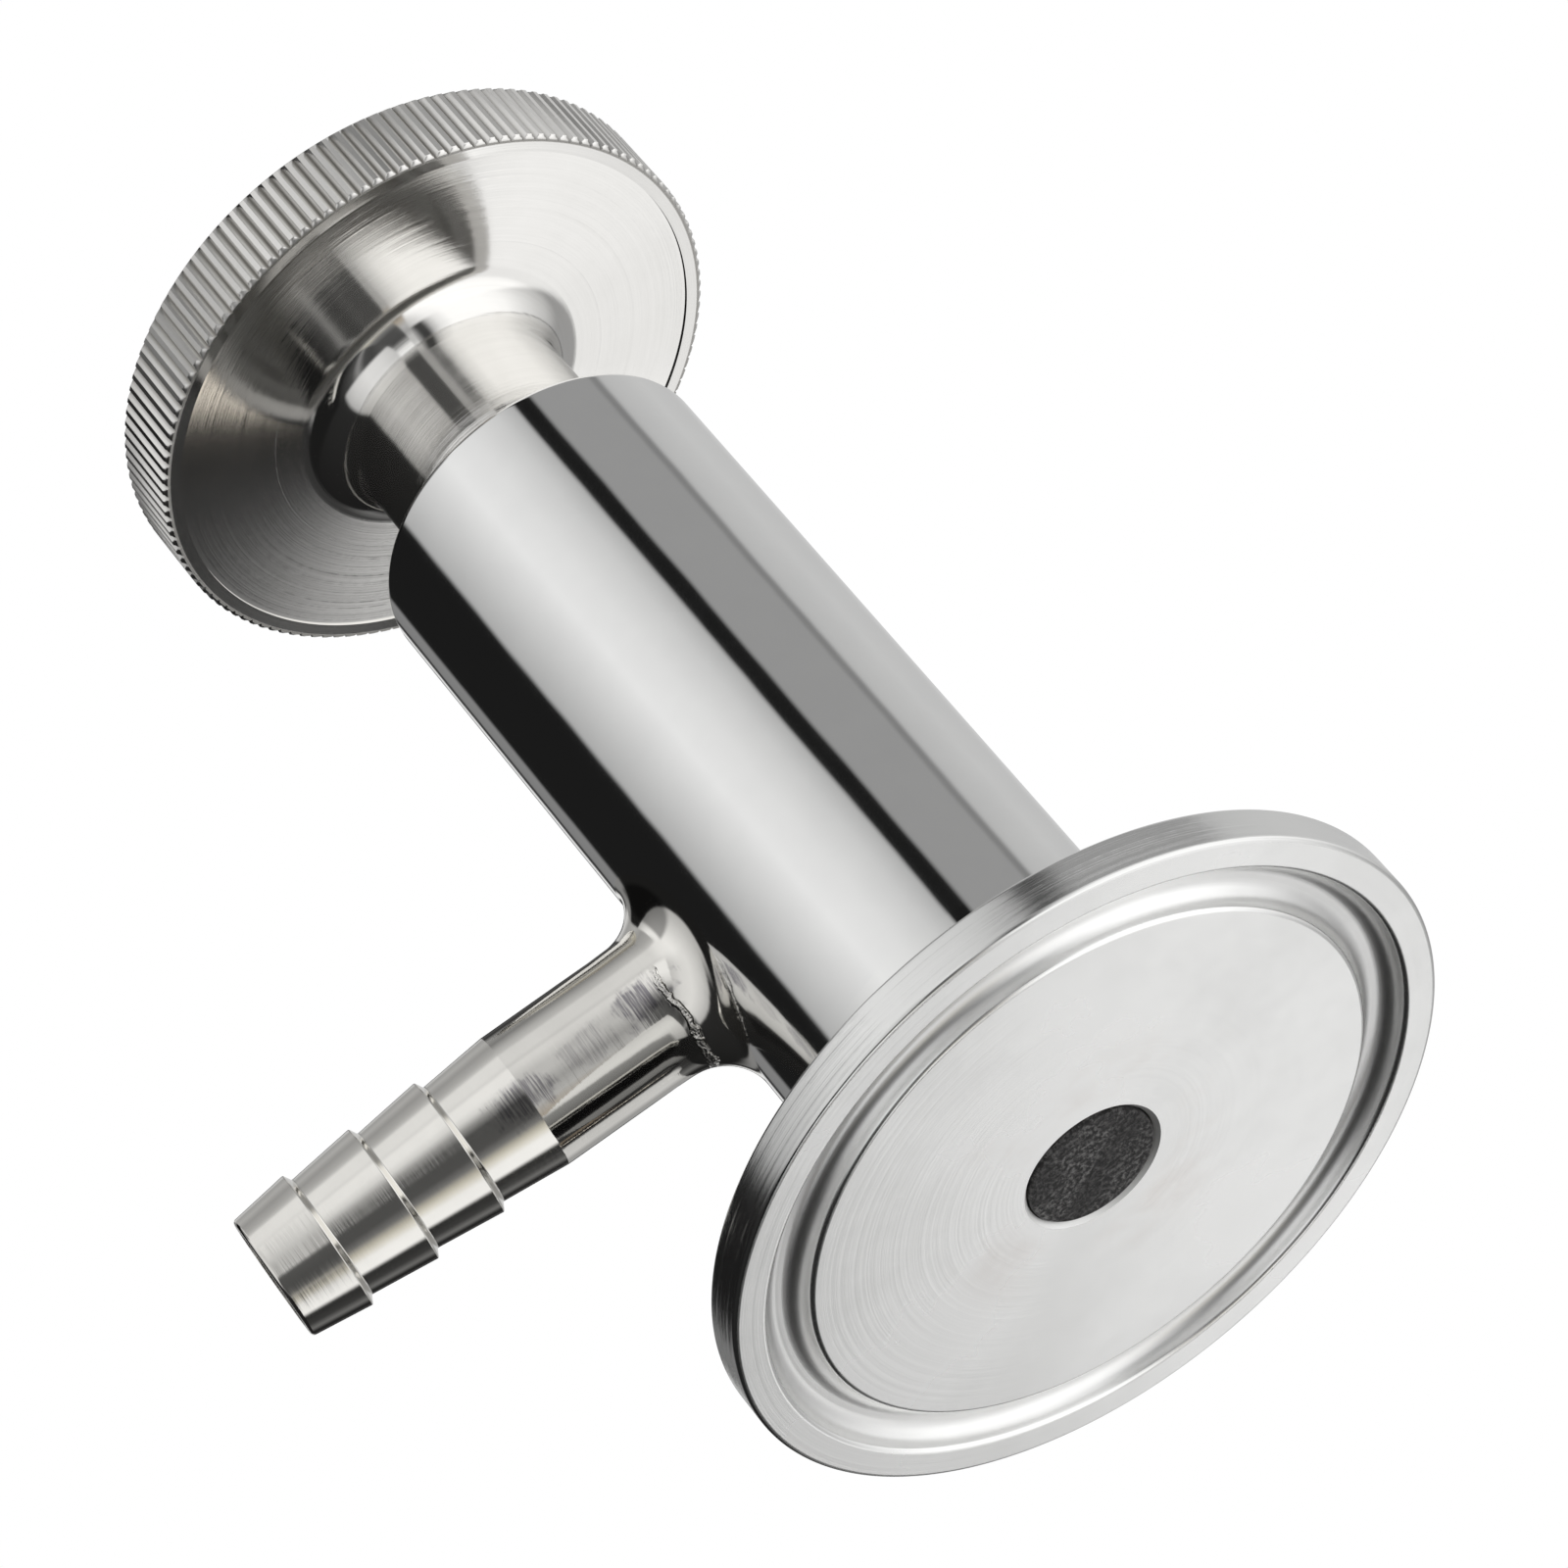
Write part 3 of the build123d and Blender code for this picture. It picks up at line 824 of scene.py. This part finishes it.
# Radius and height from the bore's mouth, over tip and cones, along the shank to the weld
def outletLine(rootEnd):
    o = outlet
    crest = o["reach"] - o["firstCone"]
    corners = [(o["boreRadius"], o["reach"], 0), (o["tipRadius"], o["reach"], o["tipRounding"])]
    for _ in range(o["barbs"]):
        corners.append((o["crestRadius"], crest, o["valleyRounding"]))
        corners.append((o["valleyRadius"], crest - o["valleyWidth"], o["valleyRounding"]))
        crest -= o["pitch"]
    corners += [(o["shankRadius"], crest, o["shankRounding"]), (o["shankRadius"], rootEnd, 0)]
    return roundedLine(corners, closed=False, steps=5, support=0.03) / mm


# The weld is the track of a ball of radius w that touches the barrel, radius R, and the shank's
# flared root: its centre is (c cos q, c sin q) at depth sqrt((R + w)^2 - (c sin q)^2), and the
# skin is centre + w times the turn between both contacts.
def weldSkin(q, rootEnd):
    o = outlet
    ball = o["weldRounding"]
    slope = o["rootSpread"] / (rootEnd - tubeRadius)
    tilt = math.atan(slope)
    depth = np.full_like(q, rootEnd)
    for _ in range(6):  # the root's radius at the contact depends on the depth, so this settles it
        root = o["shankRadius"] + slope * (rootEnd - depth + ball * math.sin(tilt))
        centreRadius = root + ball * math.cos(tilt)
        depth = np.sqrt((tubeRadius + ball) ** 2 - (centreRadius * np.sin(q)) ** 2)
    centre = np.stack([centreRadius * np.cos(q), centreRadius * np.sin(q), depth], -1)
    inward = -math.cos(tilt)
    toShank = np.stack([inward * np.cos(q), inward * np.sin(q), 0 * q - math.sin(tilt)], -1)
    toBarrel = -centre * [0, 1, 1] / (tubeRadius + ball)
    sweep = np.arccos(np.clip((toShank * toBarrel).sum(-1, keepdims=True), -1, 1))
    t = np.linspace(0, 1, o["weldSteps"] + 1)[None, :, None]
    turn = (np.sin((1 - t) * sweep) * toShank + np.sin(t * sweep) * toBarrel) / np.sin(sweep)
    return centre + ball * turn


# Around the outlet's own axis at angle q: the turned line, the weld's skin, then the spigot and
# the bore where they meet the barrel's cylinders, at depth sqrt(cylinder^2 - (radius sin q)^2)
def makeOutlet(finish):
    o = outlet
    q = evenAngles(o["columns"])[:, None]
    rootEnd = tubeRadius + o["weldRounding"] + o["weldRoom"]
    line = outletLine(rootEnd)
    radii, depths = line[None, :, 0], line[None, :, 1]
    loops = [np.stack([radii * np.cos(q), radii * np.sin(q), depths + 0 * q], -1), weldSkin(q, rootEnd)]
    for radius, cylinder in (
        (o["spigotRadius"], tubeRadius),
        (o["spigotRadius"], chamberRadius),
        (o["boreRadius"], chamberRadius),
    ):
        depth = np.sqrt(cylinder ** 2 - (radius * np.sin(q)) ** 2)
        loops.append(np.stack([radius * np.cos(q), radius * np.sin(q), depth], -1))
    local = np.concatenate(loops, axis=1)
    points = np.stack([local[..., 0] + o["station"], local[..., 1], -local[..., 2]], -1) * mm
    sheets = [(points, gridQuads(*points.shape[:2], True, True))]
    return makePiece(
        "barbed_outlet", sheets, finish, "valve_body", ["hose_barb"], o["sharp"]
    )


# Plug

plug = {"gap": 0.1, "radius": 6.8, "length": 7.5, "rounding": 0.25, "columns": 192}


# The nose and the cone stand off the port and its seat by the same gap
def plugProfile():
    p = plug
    noseRadius = ferrule["portRadius"] - p["gap"]
    noseEnd = ferrule["portLength"] + p["gap"] * (math.sqrt(2) - 1)
    coneEnd = noseEnd + p["radius"] - noseRadius
    corners = [
        (0, 0, 0),
        (noseRadius, 0, p["rounding"]),
        (noseRadius, noseEnd, 0),
        (p["radius"], coneEnd, p["rounding"]),
        (p["radius"], p["length"], p["rounding"]),
        (0, p["length"], 0),
    ]
    return roundedLine(corners, closed=False)


# Handwheel

handwheel = {
    "ridges": 134,
    "knurlDepth": 0.38,
    "knurlOpening": 0.62,
    "rimStart": 81.0,
    "rimChamfer": 0.25,
    "topChamfer": 0.45,
    "rimParts": (0, 0.35, 0.7, 1),
    "topParts": (0, 0.4, 0.8, 1),
    "topMargin": 0.05,
    "landWidth": 1.0,
    "landHeight": 0.12,
    "dishDrop": 0.5,
    "flareRadius": 2.9,
    "neckFoot": 63.15,
    "neckStart": 50.18,
    "threadStep": 0.55,
    "hubFloor": 78.9,
    "stemHole": 3.05,
    "capLedge": 2.5,
    "capStart": 84.85,
    "sealGroove": 1.4,
    "sealDepth": 1.0,
    "steps": 12,
}


# The land and both chamfers of the rim, with more points where the knurl cuts them
def rimCorners():
    w = handwheel
    land = wheelRadius - w["rimChamfer"]
    corners = [
        (land - w["landWidth"], w["rimStart"] + w["landHeight"], 0),
        (land - w["landWidth"], w["rimStart"], 0),
    ]
    for part in w["rimParts"]:
        corners.append((land + part * w["rimChamfer"], w["rimStart"] + part * w["rimChamfer"], 0))
    for part in w["topParts"]:
        corners.append((wheelRadius - part * w["topChamfer"], wheelEnd - w["topChamfer"] * (1 - part), 0))
    return corners + [(wheelRadius - w["topChamfer"] - w["topMargin"], wheelEnd, 0)]


def handwheelProfile():
    w = handwheel
    threadRadius = neckRadius - w["threadStep"]
    capRadius = hubRadius + w["capLedge"]
    grooveRadius = (hubRadius + capRadius) / 2
    grooveFloor = w["capStart"] - w["sealDepth"]
    corners = [
        (w["stemHole"], w["neckStart"], 0),
        (threadRadius, w["neckStart"], 0),
        (threadRadius, w["neckFoot"], 0),
        (neckRadius, w["neckFoot"], 0),
        (neckRadius, w["rimStart"] - w["dishDrop"], w["flareRadius"]),
        *rimCorners(),
        (capRadius, wheelEnd, 0),
        (capRadius, w["capStart"], 0),
        (grooveRadius + w["sealGroove"] / 2, w["capStart"], 0),
        (grooveRadius + w["sealGroove"] / 2, grooveFloor, 0),
        (grooveRadius - w["sealGroove"] / 2, grooveFloor, 0),
        (grooveRadius - w["sealGroove"] / 2, w["capStart"], 0),
        (hubRadius, w["capStart"], 0),
        (hubRadius, w["hubFloor"], 0),
        (w["stemHole"], w["hubFloor"], 0),
    ]
    return roundedLine(corners, steps=w["steps"])


# Turned profile, then every point is drawn in to the knurl: at s from the middle of a groove its
# radius is at most rim - depth (1 - 2 s / opening), the two flanks of a V with a flat land between
def makeHandwheel(finish):
    w = handwheel
    profile = handwheelProfile()
    pitch = 2 * math.pi / w["ridges"]
    edge = w["knurlOpening"] / 2 / (wheelRadius * pitch)
    shares = np.array([0, edge / 2, edge, 0.5, 1 - edge, 1 - edge / 2])
    angles = (np.arange(w["ridges"])[:, None] + shares[None]).ravel() * pitch
    fromGroove = np.tile(np.minimum(shares, 1 - shares), w["ridges"])
    limit = wheelRadius - w["knurlDepth"] * np.maximum(0, 1 - fromGroove / edge)
    grid = turnedGrid(profile, angles)
    radius = np.minimum(profile[None, :, 0], limit[:, None] * mm)
    grid[..., 1] = radius * np.sin(angles)[:, None]
    grid[..., 2] = radius * np.cos(angles)[:, None]
    sheets = [(grid, gridQuads(*grid.shape[:2], True, True))]
    return makePiece(
        "knurled_handwheel", sheets, finish, "handwheel_assembly", ["handwheel"]
    )


# Everything is made

finishes = {
    "barrel": finishNamed("mirror_steel_barrel", paintBarrel),
    "ferrule": finishNamed("satin_and_polished_steel", paintFerrule),
    "outlet": finishNamed("lathe_turned_steel", paintOutlet),
    "handwheel": finishNamed("turned_steel_handwheel", paintHandwheel),
    "turned": finishNamed("turned_steel_small_parts", turnedOf(smallSteel)),
    "cap": finishNamed("turned_steel_cap", paintCap),
    "spring": finishNamed("spring_steel", grainyOf(springSteel)),
    "bronze": finishNamed("bearing_bronze", turnedOf(bronze)),
    "rubber": finishNamed("black_rubber", rubberOf("black")),
    "wiper": finishNamed("grey_rubber", rubberOf("grey")),
    "fluoroplastic": finishNamed("white_ptfe", grainyOf(fluoroplastic)),
}
nodeFinishes = {
    "cap": ["closing_cap"],
    "turned": ["stem_rod", "stem_nut", "plug_core", "anti_turn_plate", "dowel_pins"],
    "spring": ["bush_circlip"],
    "bronze": ["thread_bush", "lower_thrust_washer", "upper_thrust_washer"],
    "rubber": ["guide_seal", "stem_seal_lower", "stem_seal_upper", "cap_seal"],
    "wiper": ["neck_wiper"],
    "fluoroplastic": ["guide_bush"],
}
for finishName, nodes in nodeFinishes.items():
    for node in nodes:
        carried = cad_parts[node]
        carried.data.materials.clear()
        carried.data.materials.append(finishes[finishName])
print("finishes ready")

makeTurned(
    "clamp_ferrule_skin", ferruleProfile(), True, ferrule["columns"], finishes["ferrule"],
    "valve_body", ["clamp_ferrule"],
)
print("ferrule made")
makeBarrel(finishes["barrel"])
print("barrel made")
makeOutlet(finishes["outlet"])
print("outlet made")
makeTurned(
    "rubber_plug", plugProfile(), False, plug["columns"], finishes["rubber"],
    "stem_assembly", ["plug_seal"],
)
print("plug made")
makeHandwheel(finishes["handwheel"])
print("handwheel made")


# Studio. Reflections read it by direction, so its places are parts of a unit vector.

studio = {
    "floorHeight": -0.12,
    "floorMiddle": -0.04,
    "floorRings": (0.0001, 0.3, 1.0),
    "floorColumns": 96,
    "floorTints": [(0.86, 0.86, 0.86, 1), (0.90, 0.90, 0.90, 1)],
    "floorRoughness": 0.8,
    "steelGain": 1.27,
    "diffuse": 0.95,
    "aheadFrom": (-0.50, -0.20),  # X
    "frontFrom": (0.56, 0.66),  # X
    "darkBehind": (-0.72, -0.66),  # X
    "darkBelow": (-0.38, -0.30),  # Z
    "darkShare": 0.6,
    "horizonFrom": (-0.42, -0.30),  # X
    "horizonBehind": (-0.80, -0.72),  # X
    "horizonBottom": (-0.24, -0.20),  # Z
    "horizonSplit": (0.035, 0.045),  # Z
    "horizonTop": (0.12, 0.14),  # Z
    "gapBottom": (-0.04, -0.02),  # Z
    "gapTop": (0.075, 0.085),  # Z
    "gapSide": (0.3, 0.4),  # Y
    "cardsMiddle": (0.742, 0.112),  # Y and Z
    "cardsInner": (0.055, 0.070),
    "cardsOuter": (0.15, 0.17),
    "cardsAhead": (0.40, 0.46),  # X
    "cardsBottom": (-0.03, -0.01),  # Z
}
# Brightness of the studio by angle from +Y towards +Z in degrees, at three places along X
sideBands = [
    (0, 0.55), (20, 0.50), (36, 0.46), (65, 0.51), (90, 0.46), (95, 0.44), (98, 0.20), (101, 0.20),
    (104, 0.28), (144, 0.28), (146, 0.01), (156.5, 0.01), (158, 0.42), (171, 0.57), (191, 0.70),
    (212, 0.77), (232, 0.61), (252, 0.46), (261, 0.40), (264, 0.01), (322, 0.01), (326, 0.20),
    (340, 0.18), (344, 0.01), (347, 0.01), (351, 0.68), (360, 0.55),
]
middleBands = [
    (0, 0.30), (40, 0.28), (50, 0.46), (72, 0.70), (88, 0.90), (105, 0.96), (139, 0.95),
    (150, 0.72), (156, 0.45), (161, 0.04), (167, 0.04), (172, 0.34), (191, 0.48), (209, 0.62),
    (226, 0.66), (243, 0.52), (252, 0.40), (256, 0.02), (345, 0.01), (352, 0.02), (357, 0.25),
    (360, 0.30),
]
frontBands = [
    (0, 0.76), (46, 0.76), (52, 0.88), (60, 0.94), (95, 0.98), (131, 0.98), (150, 0.85),
    (160, 0.66), (170, 0.46), (180, 0.30), (190, 0.10), (213, 0.05), (224, 0.06), (233, 0.22),
    (242, 0.06), (267, 0.01), (345, 0.01), (358, 0.05), (360, 0.76),
]
# Brightness round the horizon, by angle from +X towards +Y in degrees, just above it and below
upperHorizon = [
    (0, (0.16, 0.14, 0.12)), (8, 0.06), (24, 0.02), (45, 0.03), (52, 0.50), (76, 0.52), (90, 0.30),
    (108, 0.28), (113, 0.02), (134, 0.01), (146, 0.07), (162, 0.03), (176, 0.26), (192, 0.18),
    (209, 0.38), (226, 0.53), (242, 0.64), (258, 0.60), (274, 0.46), (288, 0.46), (306, 0.31),
    (322, 0.40), (340, (0.34, 0.30, 0.25)), (352, (0.20, 0.17, 0.14)), (360, (0.16, 0.14, 0.12)),
]
lowerHorizon = [
    (0, (0.66, 0.64, 0.58)), (10, 0.84), (30, 0.86), (37, 0.02), (60, 0.04), (75, 0.14), (88, 0.02),
    (98, 0.01), (108, 0.06), (116, 0.02), (136, 0.02), (145, 0.55), (158, 0.30), (176, 0.38),
    (192, 0.28), (209, 0.36), (226, 0.56), (242, 0.76), (266, 0.76), (277, 0.62), (288, 0.26),
    (300, 0.06), (330, 0.07), (342, 0.16), (352, (0.46, 0.44, 0.38)), (360, (0.66, 0.64, 0.58)),
]
# Cards facing the wheel's underside and its land, by angle about their middle from +Z towards +Y
wheelCards = [
    (0, 0.76), (30, 0.74), (50, 0.92), (98, 0.92), (106, 0.50), (126, 0.48), (138, 0.40),
    (150, 0.26), (162, 0.15), (176, 0.06), (190, 0.02), (200, 0.01), (211, 0.01),
    (212, (0.85, 0.78, 0.68)), (222, (0.85, 0.78, 0.68)), (223, 0.01), (243, 0.01),
    (248, (0.16, 0.13, 0.10)), (262, (0.10, 0.09, 0.07)), (272, 0.24), (277, (0.72, 0.66, 0.58)),
    (284, (0.68, 0.63, 0.56)), (290, 0.52), (303, 0.48), (308, 0.80), (345, 0.80), (360, 0.76),
]
landCards = [
    (0, 0.66), (12, 0.73), (60, 0.70), (90, 0.30), (110, 0.03), (142, 0.03), (150, 0.14),
    (160, 0.04), (172, 0.01), (220, 0.01), (230, 0.08), (240, 0.20), (262, 0.18), (280, 0.85),
    (290, 0.98), (325, 0.95), (340, 0.65), (360, 0.66),
]


# Brightness by the angle whose sine and cosine go with `across` and `along`
def bandsAround(maker, across, along, bands):
    angle = maker.node("ShaderNodeMath", {"operation": "ARCTAN2"}, {0: across, 1: along})[0]
    turn = maker.node("ShaderNodeMath", {"operation": "FRACT"}, {0: angle / (2 * math.pi) + 1.0})[0]
    return maker.ramp(turn, [(degrees / 360, tone) for degrees, tone in bands])


# Light and dark bands along the valve, darker low down behind it
def bandedSky(maker, x, y, z):
    s = studio
    side = bandsAround(maker, z, y, sideBands)
    middle = bandsAround(maker, z, y, middleBands)
    front = bandsAround(maker, z, y, frontBands)
    dark = (1 - maker.step(x, *s["darkBehind"])) * (1 - maker.step(z, *s["darkBelow"]))
    side = maker.mixColour(dark * s["darkShare"], side, (0, 0, 0, 1))
    ahead = maker.mixColour(maker.step(x, *s["frontFrom"]), middle, front)
    return maker.mixColour(maker.step(x, *s["aheadFrom"]), side, ahead)


# The horizon shows ahead of the valve, right behind it, and through a gap on the +Y side
def withHorizon(maker, sky, x, y, z):
    s = studio
    upper, lower = (bandsAround(maker, y, x, bands) for bands in (upperHorizon, lowerHorizon))
    shown = maker.step(x, *s["horizonFrom"]) + 1 - maker.step(x, *s["horizonBehind"])
    gap = maker.step(z, *s["gapBottom"]) * (1 - maker.step(z, *s["gapTop"])) * maker.step(y, *s["gapSide"])
    shown = shown + gap * (1 - shown)
    band = maker.step(z, *s["horizonBottom"]) * (1 - maker.step(z, *s["horizonTop"])) * shown
    return maker.mixColour(band, sky, maker.mixColour(maker.step(z, *s["horizonSplit"]), lower, upper))


# Cards that the wheel's underside mirrors, with others inside them for its land
def withCards(maker, sky, x, y, z):
    s = studio
    right, above = y - s["cardsMiddle"][0], z - s["cardsMiddle"][1]
    spread = (right * right + above * above) ** 0.5
    underWheel, onLand = (bandsAround(maker, right, above, bands) for bands in (wheelCards, landCards))
    cards = maker.mixColour(maker.step(spread, *s["cardsInner"]), onLand, underWheel)
    near = 1 - maker.step(spread, *s["cardsOuter"])
    near = near * maker.step(x, *s["cardsAhead"]) * maker.step(z, *s["cardsBottom"])
    return maker.mixColour(near, sky, cards)


# Steel mirrors the bands, dull surfaces get plain soft light, and the camera sees white
def makeStudio():
    world = bpy.data.worlds.new("studio_light")
    bpy.context.scene.world = world
    world.use_nodes = True
    world.node_tree.nodes.clear()
    maker = Maker(world.node_tree)
    x, y, z = maker.split(maker.node("ShaderNodeTexCoord")[0])
    sky = bandedSky(maker, x, y, z)
    sky = withHorizon(maker, sky, x, y, z)
    sky = withCards(maker, sky, x, y, z)
    light = maker.node("ShaderNodeLightPath")
    white = (1, 1, 1, 1)
    mirrored = maker.node("ShaderNodeBackground", {}, {0: sky, 1: studio["steelGain"]})[0]
    soft = maker.node("ShaderNodeBackground", {}, {0: white, 1: studio["diffuse"]})[0]
    plain = maker.node("ShaderNodeBackground", {}, {0: white, 1: 1.0})[0]
    lit = maker.node("ShaderNodeMixShader", {}, {0: light[2], 1: mirrored, 2: soft})[0]
    seen = maker.node("ShaderNodeMixShader", {}, {0: light[0], 1: lit, 2: plain})[0]
    maker.node("ShaderNodeOutputWorld", {}, {0: seen})


def paintFloor(maker):
    return {
        "Base Color": maker.mixColour(maker.noise(maker.objectPoint(), 3.0), *studio["floorTints"]),
        "Roughness": studio["floorRoughness"],
    }


# Floor disc: point (angle a, ring r) = (r cos a + middle, r sin a, floor height)
def makeFloor():
    a, r = evenAngles(studio["floorColumns"])[:, None], np.array(studio["floorRings"])[None]
    x = r * np.cos(a) + studio["floorMiddle"]
    points = np.stack([x, r * np.sin(a), 0 * a * r + studio["floorHeight"]], -1)
    quads = gridQuads(*points.shape[:2], True, False)
    mesh = bpy.data.meshes.new("floor")
    mesh.from_pydata(points.reshape(-1, 3).tolist(), [], quads.reshape(-1, 4).tolist())
    mesh.materials.append(finishNamed("pale_floor", paintFloor))
    floor = bpy.data.objects.new("floor", mesh)
    bpy.context.scene.collection.objects.link(floor)
    floor.visible_glossy = False


# Camera axes are columns right, up and back, found from points on the ferrule, tube and barbs
camera = {
    "place": (0.2199, -0.3418, -0.0516),
    "right": (0.51925, 0.26611, 0.81213),
    "up": (-0.61193, -0.54759, 0.57068),
    "forward": (-0.59658, 0.79330, 0.12149),
    "lens": 155.17,
    "sensor": 36,
    "clip": 0.01,
}


def makeCamera():
    data = bpy.data.cameras.new("camera")
    data.lens, data.sensor_width, data.clip_start = camera["lens"], camera["sensor"], camera["clip"]
    eye = bpy.data.objects.new("camera", data)
    bpy.context.scene.collection.objects.link(eye)
    axes = Matrix([camera["right"], camera["up"], [-v for v in camera["forward"]]]).transposed()
    eye.matrix_world = Matrix.Translation(Vector(camera["place"])) @ axes.to_4x4()
    bpy.context.scene.camera = eye


makeStudio()
makeFloor()
makeCamera()
bpy.context.scene.view_settings.view_transform = "Standard"
print("studio ready")
